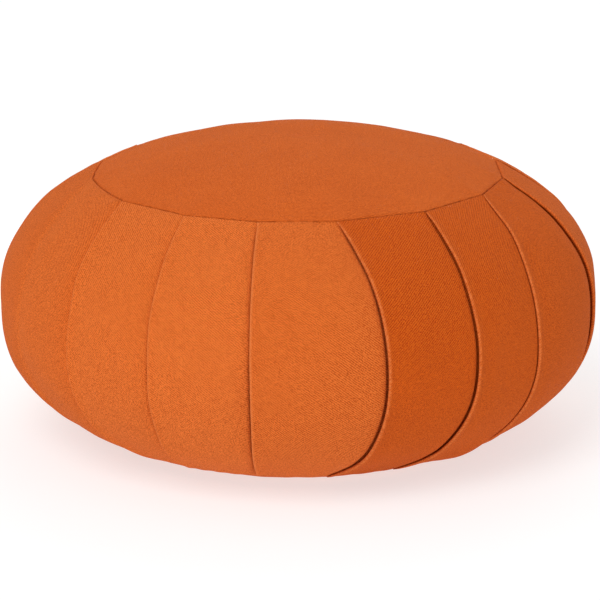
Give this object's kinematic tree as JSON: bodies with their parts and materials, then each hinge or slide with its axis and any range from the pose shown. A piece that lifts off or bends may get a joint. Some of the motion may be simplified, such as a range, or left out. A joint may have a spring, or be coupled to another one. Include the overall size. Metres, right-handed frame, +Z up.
{
  "type": "meditation cushion",
  "caption": "Round husk-filled floor cushion with a knife-pleated side band between a domed top panel and a flat base panel.",
  "frame": {"origin": "on the floor, under the middle of the cushion", "axes": "+Z up, the way the cushion stands on the floor; the pictured side faces -Y"},
  "size_m": [0.3292, 0.3312, 0.166],
  "materials": {
    "cotton_twill_band": "matte orange cotton twill",
    "cotton_twill_top": "matte orange cotton twill",
    "cotton_twill_base": "matte orange cotton twill"
  },
  "bodies": {
    "root": {"pleated_side_band": "cotton_twill_band", "top_panel": "cotton_twill_top", "base_panel": "cotton_twill_base"}
  },
  "joints": []
}
